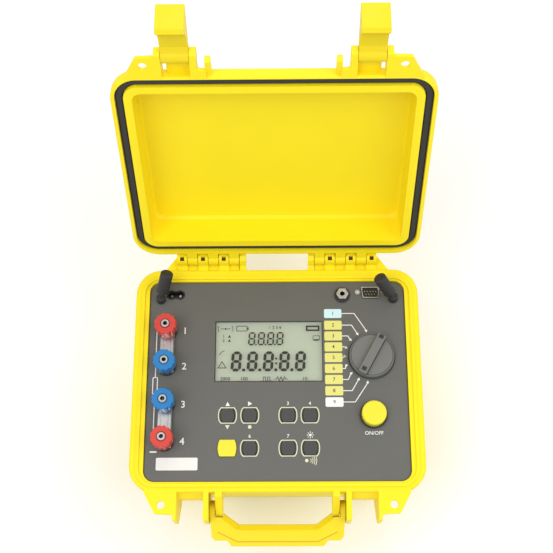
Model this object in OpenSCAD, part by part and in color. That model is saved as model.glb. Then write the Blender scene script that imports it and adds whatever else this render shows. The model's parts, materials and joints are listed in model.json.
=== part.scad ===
/* [Case] */
// Width of the case at its rims
case_w = 270; // [262:1:300]
// Depth of the case at its rims, latches and hinges not counted
case_d = 213; // [206:1:240]
// Height of the base up to the parting plane
base_h = 143; // [125:1:170]
// Height of the closed lid above the parting plane
lid_h = 37; // [35:0.5:50]
// Corner radius of the rims
rim_r = 24; // [18:1:30]
// Wall of the base and of the lid
wall = 3.2; // [2.4:0.1:4]
// Height of the flange round each rim
flange_h = 12.5; // [10:0.5:16]
// Rounding of the flange edges
flange_soft = 2.4; // [1:0.2:4]
// How far the base wall lies inside the rim, just under the flange
tub_inset = 10; // [8:0.5:12]
// How far the base wall draws in from there to the bottom
tub_draft = 5; // [2:0.5:8]
// How far the lid wall lies inside the rim
cap_inset = 14; // [12:0.5:16]
// Rounding of the bottom and top edges of the case
edge_soft = 6; // [3:0.5:9]
// Gap between the closed rims
lid_gap = 0.4; // [0.3:0.1:1]
// Height of the seal rib on the base
rib_h = 2; // [1:0.1:2.4]
// Width of the seal rib
rib_w = 3; // [2:0.1:3.6]

/* [Panel] */
// Distance from the side of the rim to the side of the panel
panel_side = 13.6; // [13:0.1:16]
// Distance from the front and back of the rim to the panel
panel_end = 11.15; // [10.5:0.05:13]
// Thickness of the front panel
panel_t = 3; // [2:0.5:4]
// How far the panel face lies below the rim
panel_drop = 2.5; // [1:0.5:5]
// Corner radius of the panel
panel_r = 10; // [6:1:14]
// How far the panel and the seal lie forward of the middle of the rim
seat_shift = 1.5; // [0:0.5:2]
// Width of the ledge that the panel rests on
ledge_w = 4.5; // [3:0.5:5]

/* [Lid inside] */
// Distance from the side of the rim to the hollow of the lid
hollow_side = 18; // [17:0.5:22]
// Distance from the front and back of the rim to the hollow
hollow_end = 18; // [17:0.5:22]
// How deep the hollow goes from the rim
hollow_h = 31; // [28:0.5:32]
// Width of the gasket groove
groove_w = 7.4; // [6:0.2:8]
// Depth of the gasket groove
groove_h = 6; // [4.5:0.5:7]
// How far the gasket face lies inside the rim of the lid
gasket_drop = 2.4; // [2.2:0.1:3]

/* [Hinge and latches] */
// Rest angle of the open lid
lid_open = 111; // [95:1:111]
// Place of the hinge axis behind the rim
hinge_back = 9.7; // [9.5:0.1:12]
// Height of the hinge axis above the parting plane
hinge_up = 4.55; // [4:0.05:6]
// Radius of a hinge knuckle
knuckle_r = 6; // [5:0.25:6.5]
// Length of a hinge knuckle
knuckle_l = 10; // [8:0.5:10]
// Distance from the side of the case to the outer end of a hinge
hinge_side = 39; // [36:1:45]
// Radius of the hinge pins
hinge_pin_r = 2; // [1.5:0.25:3]
// Width of a latch
latch_w = 22.5; // [18:0.5:24]
// Distance from the side of the case to the middle of a latch
latch_side = 56.6; // [55:0.2:60]
// Length of a latch from its pin to its tip
latch_l = 47; // [44:0.5:52]
// Rest angle of an open latch from its closed place
latch_open = 88; // [60:1:90]
// Radius of the latch pins
latch_pin_r = 2; // [1.5:0.25:2.5]
// Radius of the padlock eyes
eye_r = 3.7; // [3:0.1:4]

/* [Handle] */
// Reach of the handle from its pins to the outer lip
handle_l = 34; // [32:0.5:40]
// Thickness of the grip
grip_t = 13; // [10:0.5:14]
// Depth of the grip from its inner edge to its outer lip
grip_d = 18.5; // [16:0.5:20]
// Radius of the handle pins
handle_pin_r = 2.5; // [2:0.25:3]
// Rest angle of the handle below the horizontal
handle_droop = 10; // [0:1:30]

/* [Terminals] */
// Diameter of a terminal knob over its lobes
knob_d = 20.4; // [18:0.2:21]
// Height of a terminal knob
knob_h = 20; // [16:0.5:21]
// Radius of the terminal stem
stem_r = 3.5; // [3:0.1:4]
// Radius of the plug socket in the stem
jack_r = 2; // [1.9:0.05:2.1]
// Depth of the plug socket
jack_h = 18; // [12:1:22]
// Thickness of a link plate
link_t = 1.5; // [1:0.25:2]
// Width of a link plate
link_w = 13.5; // [12:0.5:15]

/* [Controls] */
// Width of the display window
lcd_w = 102; // [90:1:104]
// Depth of the display window
lcd_d = 59.3; // [52:0.5:60]
// Width of a key cap
key_w = 13; // [11:0.5:14]
// Depth of a key cap
key_d = 12.4; // [10:0.2:13]
// Travel of a key
key_travel = 1.2; // [0.8:0.1:1.5]
// Height of a key cap above the panel
key_h = 1.8; // [1.4:0.1:2.4]
// Diameter of the selector knob
dial_d = 42; // [38:1:44]
// Height of the selector disc
dial_h = 5.5; // [4:0.5:7]
// Height of the grip bar above the disc
bar_h = 5.5; // [4:0.5:7]
// Diameter of the start button
start_d = 22.6; // [18:0.2:24]
// Travel of the start button
start_travel = 3; // [2:0.25:3.5]
// Height of the start button above the panel
start_h = 10.5; // [9:0.5:12]

/* [Stays] */
// Length of a rubber stay from its foot
stay_l = 31; // [26:1:32]
// Radius of the rubber sleeve of a stay
sleeve_r = 6; // [5:0.25:6.5]
// Angle of a stay from the vertical
stay_tilt = 37; // [34:1:45]

/* [Inside] */
// Height of the chassis tray above the bottom of the base
tray_z = 38; // [20:1:50]
// Distance from the side of the panel to the side of the tray
tray_side = 26.4; // [22:0.2:32]
// Distance from the front and back of the panel to the tray
tray_end = 20.35; // [16:0.05:26]
// Thickness of the chassis tray
tray_t = 2; // [1.5:0.25:3]
// Width of the power board
power_w = 42; // [36:1:50]
// Diameter of a battery cell
cell_d = 33; // [26:1:34]
// Height of the ring transformer
ring_h = 34; // [28:1:40]
// Thickness of a circuit board
board_t = 1.6; // [1.2:0.2:2]

/* [Hidden] */
$fn = 48;

// Colours
yellow = "#f7e83c";
dark = "#2c2c2e";
grey = "#6a6a65";
steel = "#c4c4c2";
brass = "#c9a350";
board_green = "#2f6b45";

// Overruns and clearances
over = 1;
slab_t = 0.5;
fit = 0.05;
slack = 0.4;
seat = 0.25;
soft_steps = 4;

// Places that follow from the case
rim_z = base_h;
front_y = -case_d / 2;
back_y = case_d / 2;
hinge_y = back_y + hinge_back;
hinge_z = rim_z + hinge_up;
panel_top = rim_z - panel_drop;
panel_z = panel_top - panel_t;
seal_t = 0.8;
ledge_top = panel_z - seal_t;
ledge_t = 4;
tub_top = rim_z - flange_h;
lid_z = rim_z + lid_gap;
lid_top = rim_z + lid_h;
panel_w = case_w - 2 * panel_side;
panel_d = case_d - 2 * panel_end;
hollow_w = case_w - 2 * hollow_side;
hollow_d = case_d - 2 * hollow_end;

// Inset of the outer base wall from the rim at a height
function tub_in(z) = tub_inset + tub_draft * (1 - z / tub_top);
// Front face of the base wall at a height
function wall_y(z) = front_y + tub_in(z);

module pair() {
    children();
    mirror([1, 0, 0]) children();
}

module rrect(w, d, r) {
    square([w - 2 * r, d], center = true);
    square([w, d - 2 * r], center = true);
    for (sx = [-1, 1], sy = [-1, 1])
        translate([sx * (w / 2 - r), sy * (d / 2 - r)]) circle(r);
}

module rim_slab(inset, z, r) {
    translate([0, 0, z]) linear_extrude(slab_t)
        rrect(case_w - 2 * inset, case_d - 2 * inset, r, $fn = 32);
}

module block(w, d, h, r) {
    linear_extrude(h) rrect(w, d, r);
}

// A flat outline in the plane of y and z, pushed out along x from x0 to x1
module side(x0, x1, points) {
    translate([x0, 0, 0]) rotate([90, 0, 90]) linear_extrude(x1 - x0) polygon(points);
}

module rod_x(r, x0, x1) {
    translate([x0, 0, 0]) rotate([0, 90, 0]) cylinder(r = r, h = x1 - x0);
}

// Rim flange with rounded edges, from z0 up
module flange(z0) {
    hull() for (i = [0:soft_steps]) {
        a = 90 * i / soft_steps;
        inset = flange_soft * (1 - sin(a));
        drop = flange_soft * (1 - cos(a));
        rim_slab(inset, z0 + drop, rim_r - inset);
        rim_slab(inset, z0 + flange_h - drop - slab_t, rim_r - inset);
    }
}

// Seal ring area: centred on the seal line, with its width
seal_inset = 7.5;
seal_r = 16;
module seal_ring(w) {
    translate([0, -seat_shift]) difference() {
        rrect(case_w - 2 * seal_inset + w, case_d - 2 * seal_inset + w, seal_r + w / 2);
        rrect(case_w - 2 * seal_inset - w, case_d - 2 * seal_inset - w, seal_r - w / 2);
    }
}

// Base shell

tub_r = 17;
tub_floor_r = 14;
eye_step = 26.3;
eye_out = 11;
eye_t = 4;
bay_out = 24.5;
bay_h = 55;
bay_chamfer = 22;
bay_front_h = 30;
latch_x = case_w / 2 - latch_side;
eye_x = latch_x + eye_step;
bay_gap_in = 11.7;
bay_gap_out = 12.4;
bay_wall_in = 4.7;
bay_wall_out = 3.2;
bay_x1 = latch_x - bay_gap_in;
bay_x0 = bay_x1 - bay_wall_in;
bay_x2 = latch_x + bay_gap_out;
bay_x3 = bay_x2 + bay_wall_out;
arm_w = 5;
handle_w = 2 * (bay_x0 - slack);
lug_w = 6.2;
lug_x1 = handle_w / 2 - arm_w - slack;
lug_x0 = lug_x1 - lug_w;
lug_r = 8;
handle_out = 10.5;
handle_down = 24;
handle_y = front_y - handle_out;
handle_z = rim_z - handle_down;
latch_out = 17.5;
latch_up = 6;
latch_y = front_y - latch_out;
latch_z = rim_z + latch_up;
pivot_r = 6;
keep_gap = 0.6;
keep_drop = 12.5;
keep_from = 0.5;
keep_to = 0.8;
hook_s0 = 24;
hook_in = 6;
hook_s1 = 36.5;
hook_out = 20;
hook_lip = 3.5;
knuckles = 6;
hinge_in = case_w / 2 - hinge_side - knuckles * knuckle_l;
knuckle_play = 0.25;
web_gap = 0.9;
stop_w = 4;
stop_angle = -15;
pocket_w = 4;
pocket_h = 4;
gusset_w = 12.5;
cheek_w = 6;

module tub_outside() {
    hull() {
        rim_slab(tub_in(0) + edge_soft, 0, tub_floor_r);
        rim_slab(tub_in(0) + edge_soft / 4, edge_soft / 4, tub_floor_r);
        rim_slab(tub_in(edge_soft), edge_soft, tub_floor_r);
        rim_slab(tub_inset, tub_top + slab_t, tub_r);
    }
}

module tub_inside() {
    hull() {
        rim_slab(tub_in(wall) + wall + edge_soft / 2, wall, tub_floor_r - wall);
        rim_slab(tub_in(wall + edge_soft) + wall, wall + edge_soft, tub_floor_r - wall);
        rim_slab(tub_inset + wall, ledge_top - ledge_t, tub_r - wall);
    }
}

// Padlock plate that reaches out from a rim between the latch and the corner
module eye_area() {
    difference() {
        polygon([[-eye_x - eye_t * 3.9, front_y + eye_out / 2], [-eye_x - eye_t * 3.9, front_y - slack],
            [-eye_x - eye_t * 1.35, front_y - bay_out * 0.77], [-bay_x3 + slack, front_y - bay_out * 0.8],
            [-bay_x3 + slack, front_y + eye_out / 2]]);
        translate([-eye_x, front_y - eye_out]) circle(eye_r);
    }
}

// Walls on both sides of a latch
module bay_walls() {
    z1 = rim_z;
    low = rim_z - bay_h;
    outline = [[wall_y(z1) + wall / 2, z1], [front_y - bay_out, z1], [front_y - bay_out, z1 - bay_front_h],
        [front_y - bay_out + bay_chamfer, low], [wall_y(low) + wall / 2, low]];
    side(-bay_x3, -bay_x2, outline);
    side(-bay_x1, -bay_x0, outline);
}

// Point on the hook face of a closed latch, pushed toward the keeper
function keep_point(share) = [latch_y + hook_in + share * (hook_out - hook_in) + keep_gap * 0.72,
    latch_z - hook_s0 - share * (hook_s1 - hook_s0) + keep_gap * 0.69];

module keeper() {
    side(-bay_x2 - over, -bay_x1 + over, [keep_point(keep_from), keep_point(keep_to),
        [front_y + over, keep_point(keep_to)[1]], [front_y + over, rim_z - keep_drop / 2],
        [front_y, rim_z - keep_drop / 2], [keep_point(keep_from)[0], rim_z - keep_drop]]);
}

module handle_lug() {
    side(-lug_x1, -lug_x0, [[wall_y(rim_z) + wall / 2, rim_z - slack], [front_y - lug_r / 2, rim_z - slack],
        [handle_y - lug_r * 0.6, handle_z + lug_r * 0.8], [handle_y, handle_z],
        [handle_y, handle_z - lug_r * 0.95], [wall_y(handle_z) + wall / 2, handle_z - lug_r * 0.95]]);
    translate([0, handle_y, handle_z]) rod_x(lug_r, -lug_x1, -lug_x0);
}

module hinge_at() {
    translate([0, hinge_y, hinge_z]) children();
}

// Hinge knuckles of one part: first counts from the outer end
module knuckle_row(first) {
    for (k = [first:2:knuckles - 1]) {
        x0 = -hinge_in - (knuckles - k) * knuckle_l;
        translate([x0 + knuckle_play, 0, 0]) children();
    }
}

module base_knuckle() {
    l = knuckle_l - 2 * knuckle_play;
    difference() {
        union() {
            rod_x(knuckle_r, 0, l);
            side(0, l, [[-hinge_back - over, -hinge_up], [-knuckle_r, -hinge_up], [-knuckle_r, 0], [knuckle_r, 0],
                [knuckle_r, -hinge_up - flange_h], [-hinge_back - over, -hinge_up - flange_h]]);
        }
        translate([l / 2 - pocket_w / 2, -pocket_w / 2 - knuckle_r / 3, knuckle_r - pocket_h + over])
            cube([pocket_w, pocket_w, pocket_h]);
    }
}

// Solid end of a hinge block, inward of the last knuckle
module hinge_cheek() {
    side(-hinge_in + knuckle_play, -hinge_in + cheek_w, [[-hinge_back - over, -hinge_up], [-knuckle_r, -hinge_up],
        [-knuckle_r, 0], [-knuckle_r * 0.7, knuckle_r * 0.7], [0, knuckle_r], [knuckle_r * 0.7, knuckle_r * 0.7],
        [knuckle_r, 0], [knuckle_r, -hinge_up - flange_h], [-hinge_back - over, -hinge_up - flange_h]]);
}

// Web below the lid knuckles, with the cradle that stops the open lid
module hinge_web() {
    x0 = -hinge_in - knuckles * knuckle_l;
    web_z = -knuckle_r - web_gap;
    side(x0 + knuckle_play, -hinge_in - knuckle_play,
        [[-hinge_back - over, web_z], [knuckle_r, web_z], [knuckle_r, -hinge_up - flange_h],
        [-hinge_back - over, -hinge_up - flange_h]]);
    r0 = knuckle_r + web_gap;
    side(x0 + knuckle_l, -hinge_in - knuckle_play,
        [[0, -hinge_up - flange_h], [0, -r0], [r0, -r0], [r0 * cos(stop_angle), r0 * sin(stop_angle)],
        [(r0 + stop_w) * cos(stop_angle), (r0 + stop_w) * sin(stop_angle)],
        [(r0 + stop_w) * cos(stop_angle), -r0 - stop_w], [knuckle_r, -hinge_up - flange_h]]);
}

module hinge_gusset() {
    x0 = -hinge_in - knuckles * knuckle_l;
    translate([0, 0, rim_z - flange_h + flange_soft]) linear_extrude(flange_h - 2 * flange_soft)
        polygon([[x0 + over, back_y - over], [x0 - gusset_w, back_y - over],
            [x0 + knuckle_play, hinge_y + knuckle_r], [x0 + over, hinge_y + knuckle_r]]);
}

module base_shell() color(yellow) {
    difference() {
        union() {
            tub_outside();
            flange(tub_top);
            translate([0, 0, rim_z - over]) linear_extrude(rib_h + over) seal_ring(rib_w);
            pair() {
                bay_walls();
                keeper();
                handle_lug();
                translate([0, 0, rim_z - eye_t]) linear_extrude(eye_t) eye_area();
                hinge_at() {
                    knuckle_row(0) base_knuckle();
                    hinge_web();
                    hinge_cheek();
                }
                hinge_gusset();
            }
        }
        tub_inside();
        translate([0, -seat_shift, ledge_top])
            block(panel_w + 2 * slack, panel_d + 2 * slack, rim_z, panel_r + slack);
        translate([0, -seat_shift, ledge_top - ledge_t - over])
            block(panel_w - 2 * ledge_w, panel_d - 2 * ledge_w, rim_z, panel_r);
        hinge_at() pair()
            rod_x(hinge_pin_r + fit, -hinge_in - knuckles * knuckle_l - over, -hinge_in + over);
        translate([0, handle_y, handle_z]) pair() rod_x(handle_pin_r + fit, -bay_x1 - over, -lug_x0 + over);
    }
}

// Lid, drawn closed and then turned back about the hinge

module on_lid() {
    hinge_at() rotate([-lid_open, 0, 0]) translate([0, -hinge_y, -hinge_z]) children();
}

cap_r = 12;
cap_draft = 3;
hollow_r = 8;
hollow_draft = 1;
ear_out = 23.5;
ear_gap = 11.5;
ear_w = 5.3;
ear_x1 = latch_x - ear_gap;
ear_x0 = ear_x1 - ear_w;
ear_x2 = latch_x + ear_gap;
ear_x3 = ear_x2 + ear_w;
bridge_gap = 3.3;
brace_step = 28;
brace_w = 4.6;
brace_x0 = latch_x - brace_step;
brace_x1 = brace_x0 + brace_w;
brace_out = 17;
ridge_h = 2.2;
ridge_w = 5;
ridge_share = 0.26;

module cap_outside() {
    top = lid_top - ridge_h;
    hull() {
        rim_slab(cap_inset, lid_z + flange_h / 2, cap_r);
        rim_slab(cap_inset + cap_draft / 2, top - edge_soft, cap_r);
        rim_slab(cap_inset + cap_draft / 2 + edge_soft / 4, top - edge_soft / 4 - slab_t, cap_r);
        rim_slab(cap_inset + cap_draft / 2 + edge_soft, top - slab_t, cap_r);
    }
}

module cap_inside() {
    translate([0, -seat_shift, lid_z - over]) hull() {
        block(hollow_w, hollow_d, slab_t, hollow_r, $fn = 32);
        translate([0, 0, hollow_h + over - slab_t - edge_soft / 2])
            block(hollow_w - 2 * hollow_draft, hollow_d - 2 * hollow_draft, slab_t, hollow_r, $fn = 32);
        translate([0, 0, hollow_h + over - slab_t])
            block(hollow_w - edge_soft, hollow_d - edge_soft, slab_t, hollow_r, $fn = 32);
    }
}

module lid_ear() {
    z1 = lid_z + flange_h;
    y1 = latch_y - pivot_r;
    polygon_points = [[front_y + over, lid_z], [y1 + flange_soft, lid_z], [y1, lid_z + flange_soft],
        [y1, latch_z + pivot_r - flange_soft], [y1 + flange_soft, z1], [front_y + cap_inset, z1],
        [front_y + cap_inset, lid_z + flange_soft]];
    side(-ear_x3, -ear_x2, polygon_points);
    side(-ear_x1, -ear_x0, polygon_points);
}

module lid_brace() {
    side(-brace_x1, -brace_x0, [[front_y + over, lid_z + flange_soft], [front_y - brace_out + flange_soft, lid_z],
        [front_y - brace_out, lid_z + flange_soft], [front_y - brace_out, lid_z + flange_h / 2],
        [front_y - flange_soft, lid_z + flange_h], [front_y + cap_inset, lid_z + flange_h]]);
}

// Plate between the inner latch ear and the brace, with a shallow step
module lid_shelf() {
    translate([0, 0, lid_z]) linear_extrude(eye_t)
        polygon([[-ear_x0 - over, front_y + over], [-ear_x0 - over, front_y - ear_out / 3],
            [-brace_x1 + over, front_y - ear_out / 4], [-brace_x1 + over, front_y + over]]);
}

// Plate behind the barrel of a latch, open beside the outer ear
module lid_bridge() {
    y1 = latch_y + pivot_r + slack;
    z1 = lid_z + flange_h;
    side(-ear_x2 + bridge_gap, -ear_x1 + over, [[front_y + over, latch_z + pivot_r * 0.4],
        [y1, latch_z + pivot_r * 0.4], [y1, z1 - flange_soft], [y1 + flange_soft, z1], [front_y + cap_inset, z1]]);
}

module lid_knuckle() {
    l = knuckle_l - 2 * knuckle_play;
    hood_r = knuckle_r + web_gap + stop_w * 0.75;
    hood = lid_open + stop_angle + seat;
    low = lid_gap - hinge_up;
    high = low + flange_h;
    rod_x(knuckle_r, 0, l);
    side(0, l, [[-hinge_back - over, low], [-knuckle_r * 0.8, low], [-knuckle_r * 0.8, 0], [0, 0],
        [knuckle_r * cos(hood), knuckle_r * sin(hood)], [hood_r * cos(hood), hood_r * sin(hood)],
        [-hood_r * 0.6, hood_r * sin(hood)], [-hinge_back - over, high]]);
}

module lid_shell_closed() {
    difference() {
        union() {
            flange(lid_z);
            cap_outside();
            // Raised bands that stiffen the top
            for (sx = [-1, 1]) translate([sx * ridge_share * case_w, 0, lid_top - ridge_h - over])
                block(ridge_w, hollow_d * 0.8, ridge_h + over, ridge_w / 2 - slack);
            pair() {
                lid_ear();
                lid_brace();
                lid_shelf();
                lid_bridge();
                translate([0, 0, lid_z]) linear_extrude(eye_t) eye_area();
                hinge_at() knuckle_row(1) lid_knuckle();
            }
        }
        cap_inside();
        translate([0, 0, lid_z - over]) linear_extrude(groove_h + over) seal_ring(groove_w);
        hinge_at() pair()
            rod_x(hinge_pin_r + fit, -hinge_in - knuckles * knuckle_l - over, -hinge_in + over);
        translate([0, latch_y, latch_z]) pair() rod_x(latch_pin_r + fit, -ear_x3 - over, -ear_x0 + over);
    }
}

module lid_shell() color(yellow) on_lid() lid_shell_closed();

// Seal strip with a raised middle
module lid_gasket() color(dark) on_lid() {
    top = lid_z + groove_h;
    translate([0, 0, lid_z + gasket_drop]) linear_extrude(top - lid_z - gasket_drop) seal_ring(groove_w * 0.6);
    translate([0, 0, top - groove_h / 3]) linear_extrude(groove_h / 3) seal_ring(groove_w - seat);
}

module latch_pins() color(steel) on_lid() translate([0, latch_y, latch_z]) pair()
    rod_x(latch_pin_r, -ear_x3 + seat, -ear_x0 - seat);

// A latch, drawn hanging closed from its pin
module latch_closed() {
    x0 = -latch_x - latch_w / 2;
    translate([0, latch_y, latch_z]) rotate([-latch_open, 0, 0]) difference() {
        union() {
            rod_x(pivot_r, x0, x0 + latch_w);
            side(x0, x0 + latch_w, [[-pivot_r * 0.8, pivot_r * 0.2], [pivot_r * 0.7, pivot_r * 0.2],
                [hook_in - pivot_r * 0.55, -hook_s0 * 0.45], [hook_in, -hook_s0], [hook_out, -hook_s1],
                [hook_out - hook_lip / 2, -hook_s1 - hook_lip], [-pivot_r * 0.6, -latch_l],
                [-pivot_r * 0.8, -latch_l * 0.96]]);
        }
        rod_x(latch_pin_r + fit, x0 - over, x0 + latch_w + over);
    }
}

module latch_left() color(yellow) on_lid() latch_closed();

module latch_right() color(yellow) on_lid() mirror([1, 0, 0]) latch_closed();

// Hinge and handle pins

module hinge_pins() color(steel) hinge_at() pair()
    rod_x(hinge_pin_r, -hinge_in - knuckles * knuckle_l + seat, -hinge_in - seat);

module handle_pins() color(steel) translate([0, handle_y, handle_z]) pair()
    rod_x(handle_pin_r, -bay_x1 + seat, -lug_x0 - seat);

// Carrying handle, drawn level with its pins and then turned down

arm_r = 6.5;
grip_end = 11.6;
open_chamfer = 14.5;
open_w = handle_w - 2 * (grip_end + open_chamfer);
lip_in = 5;
corner_cut = 3;
open_l = handle_l - grip_d;
bevel_d = 4.5;
bevel_h = 6.5;

module handle_area() {
    outline = [[handle_w / 2, 0], [handle_w / 2, -arm_r - slack],
        [handle_w / 2 - corner_cut * 0.6, -handle_l + lip_in + corner_cut],
        [handle_w / 2 - corner_cut * 1.6, -handle_l + lip_in], [handle_w * 0.37, -handle_l + lip_in],
        [handle_w * 0.34, -handle_l]];
    mirrored = [for (i = [len(outline) - 1:-1:0]) [-outline[i][0], outline[i][1]]];
    difference() {
        polygon(concat(outline, mirrored));
        polygon([[-open_w / 2, -open_l], [open_w / 2, -open_l], [open_w / 2 + open_chamfer, -arm_w],
            [open_w / 2 + open_chamfer, over], [-open_w / 2 - open_chamfer, over],
            [-open_w / 2 - open_chamfer, -arm_w]]);
        for (sx = [-1, 1]) translate([sx * (handle_w / 2 - arm_w - (lug_x1 - lug_x0) / 2 - slack / 2), 0])
            square([lug_x1 - lug_x0 + slack * 4, 2 * (lug_r + slack)], center = true);
    }
}

// Sloping cut along the upper inner edge of the grip
module grip_bevel(l) {
    side(-l / 2, l / 2, [[over, grip_t / 2 + over], [-bevel_d, grip_t / 2 + over], [-bevel_d, grip_t / 2],
        [over, grip_t / 2 - bevel_h]]);
}

module carry_handle() color(yellow) {
    translate([0, handle_y, handle_z]) rotate([handle_droop, 0, 0]) difference() {
        union() {
            translate([0, 0, -grip_t / 2]) linear_extrude(grip_t) handle_area();
            pair() rod_x(arm_r, -handle_w / 2, -handle_w / 2 + arm_w);
        }
        pair() rod_x(handle_pin_r + fit, -handle_w / 2 - over, -handle_w / 2 + arm_w + over);
        translate([0, -open_l, 0]) grip_bevel(open_w);
        for (sx = [-1, 1]) translate([sx * (open_w + open_chamfer) / 2, -(open_l + arm_w) / 2, 0])
            rotate([0, 0, sx * atan2(open_l - arm_w, open_chamfer)])
                grip_bevel(norm([open_chamfer, open_l - arm_w]) + bevel_d / 2);
        // Groove between the grip and its lower layer
        translate([-handle_w, -handle_l - slack, -grip_t * 0.18]) cube([handle_w * 2, slack * 2, slack * 2]);
    }
}

// Panel and what is set in it

shell_t = 0.8;
port_w = 18;
port_d = 11;
screw_pitch = 25;
inlet_w = 17.1;
inlet_d = 9;
plate_w = 38;
plate_d = 11.5;

// Places on the panel, as shares of its width and depth from its middle
lcd_shares = [-0.0317, 0.1327];
dial_shares = [0.3657, 0.1038];
start_shares = [0.3661, -0.1888];
plate_shares = [-0.3769, -0.4232];
post_x_share = -0.4267;
post_y_shares = [0.2381, 0.0561, -0.1348, -0.3157];
key_x_shares = [-0.189, -0.1042, 0.0408, 0.1248];
key_y_shares = [-0.1888, -0.3487];

// Places of the sockets and feet from the edges of the panel
foot_side = 10.4;
foot_step = 6.3;
port_step = 21.5;
probe_step = 27.1;
probe_back = 2.3;
inlet_step = 13.8;
inlet_back = 1.1;
foot_x = panel_w / 2 - foot_side;
port_x = foot_x - port_step;
port_y = panel_d / 2 - seat_shift - ledge_w - port_d / 2 - shell_t - seat;
foot_y = port_y - foot_step;
probe_x = port_x - probe_step;
probe_y = port_y - probe_back;
inlet_x = inlet_step - foot_x;
inlet_y = port_y - inlet_back;

lcd_x = lcd_shares[0] * panel_w;
lcd_y = lcd_shares[1] * panel_d;
dial_x = dial_shares[0] * panel_w;
dial_y = dial_shares[1] * panel_d;
start_x = start_shares[0] * panel_w;
start_y = start_shares[1] * panel_d;
plate_x = plate_shares[0] * panel_w;
plate_y = plate_shares[1] * panel_d;
post_x = post_x_share * panel_w;
post_ys = [for (share = post_y_shares) share * panel_d];
key_xs = [for (share = key_x_shares) share * panel_w];
key_ys = [for (share = key_y_shares) share * panel_d];
wide_key_w = 17.4;
wide_key_d = 15.2;
key_bow = 1.6;
seat_r = 4.6;
shaft_r = 3;
bush_r = 5;
probe_r = 5.2;
plunger_r = 7;
pillar_r = 3.5;
screw_r = 1.5;

// Outline of a key with bowed sides
module key_area(w, d) {
    corner = key_bow;
    polygon([[-w / 2 + corner, -d / 2], [w / 2 - corner, -d / 2], [w / 2 - corner * 0.3, -d / 4], [w / 2, 0],
        [w / 2 - corner * 0.3, d / 4], [w / 2 - corner, d / 2], [-w / 2 + corner, d / 2],
        [-w / 2 + corner * 0.3, d / 4], [-w / 2, 0], [-w / 2 + corner * 0.3, -d / 4]]);
}

function key_place(i) = [key_xs[i % 4], key_ys[floor(i / 4)]];
function key_size(i) = i == 4 ? [wide_key_w, wide_key_d] : [key_w, key_d];

module figure_eight(grow) {
    hull_w = inlet_w - inlet_d;
    for (sx = [-1, 1]) translate([sx * hull_w / 2, 0]) circle(inlet_d / 2 + grow);
    square([hull_w, inlet_d * 0.8 + 2 * grow], center = true);
}

module port_area(grow) {
    polygon([[-port_w / 2 - grow, port_d / 2 + grow], [port_w / 2 + grow, port_d / 2 + grow],
        [port_w / 2 - port_d * 0.14 + grow, -port_d / 2 - grow],
        [-port_w / 2 + port_d * 0.14 - grow, -port_d / 2 - grow]]);
}

module front_panel() color(grey) difference() {
    translate([0, -seat_shift, panel_z]) {
        block(panel_w, panel_d, panel_t - slack, panel_r);
        block(panel_w - 2 * slack, panel_d - 2 * slack, panel_t, panel_r - slack);
    }
    translate([0, 0, panel_z - over]) linear_extrude(panel_t + 2 * over) {
        translate([lcd_x, lcd_y]) square([lcd_w, lcd_d], center = true);
        for (i = [0:7]) translate(key_place(i)) key_area(key_size(i)[0] + 2 * seat, key_size(i)[1] + 2 * seat);
        translate([inlet_x, inlet_y]) figure_eight(seat);
        translate([port_x, port_y]) port_area(seat);
    }
    translate([0, 0, panel_z - over]) {
        h = panel_t + 2 * over;
        for (y = post_ys) translate([post_x, y, 0]) cylinder(r = seat_r + fit, h = h);
        translate([dial_x, dial_y, 0]) cylinder(r = bush_r + fit, h = h);
        translate([start_x, start_y, 0]) cylinder(r = start_d / 2 + slack * 2, h = h);
        translate([probe_x, probe_y, 0]) cylinder(r = probe_r + fit, h = h);
        for (sx = [-1, 1]) translate([port_x + sx * screw_pitch / 2, port_y, 0]) cylinder(r = screw_r + fit, h = h);
        for (sx = [-1, 1]) translate([sx * foot_x, foot_y, 0]) cylinder(r = shaft_r + fit, h = h);
    }
}

module panel_seal() color(dark) translate([0, -seat_shift, ledge_top]) difference() {
    block(panel_w, panel_d, seal_t, panel_r);
    translate([0, 0, -over]) block(panel_w - 2 * ledge_w, panel_d - 2 * ledge_w, seal_t + 2 * over, panel_r);
}

window_t = 1.5;
window_drop = 0.6;
module_t = 8;
lip_w = 2.5;

module display_window() color("#dfe6d6") {
    translate([lcd_x, lcd_y, panel_z]) {
        linear_extrude(panel_t - window_drop) square([lcd_w - 2 * seat, lcd_d - 2 * seat], center = true);
        translate([0, 0, -window_t]) linear_extrude(window_t)
            square([lcd_w + 2 * lip_w, lcd_d + 2 * lip_w], center = true);
    }
}

board_gap = 14;
board_side = 21.6;
board_z = panel_z - board_gap - board_t;
switch_body_r = 15;
board_x0 = post_x + board_side;
board_x1 = dial_x - 2 * switch_body_r - 2 * slack;
board_w = board_x1 - board_x0;
board_x = (board_x0 + board_x1) / 2;
board_d = panel_d - 2 * tray_end;
spacer_r = 3;
spacer_in = 5;
function corner_places(w, d, inset) = [for (sx = [-1, 1], sy = [-1, 1]) [sx * (w / 2 - inset), sy * (d / 2 - inset)]];

module display_module() color("#9aa58c") translate([lcd_x, lcd_y, 0]) {
    z1 = panel_z - window_t;
    translate([0, 0, z1 - module_t]) linear_extrude(module_t)
        square([lcd_w + 2 * lip_w, lcd_d + 2 * lip_w], center = true);
    for (p = corner_places(lcd_w, lcd_d, spacer_in)) translate([p[0], p[1], board_z + board_t])
        cylinder(r = spacer_r / 2, h = z1 - module_t / 2 - board_z - board_t);
}

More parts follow.
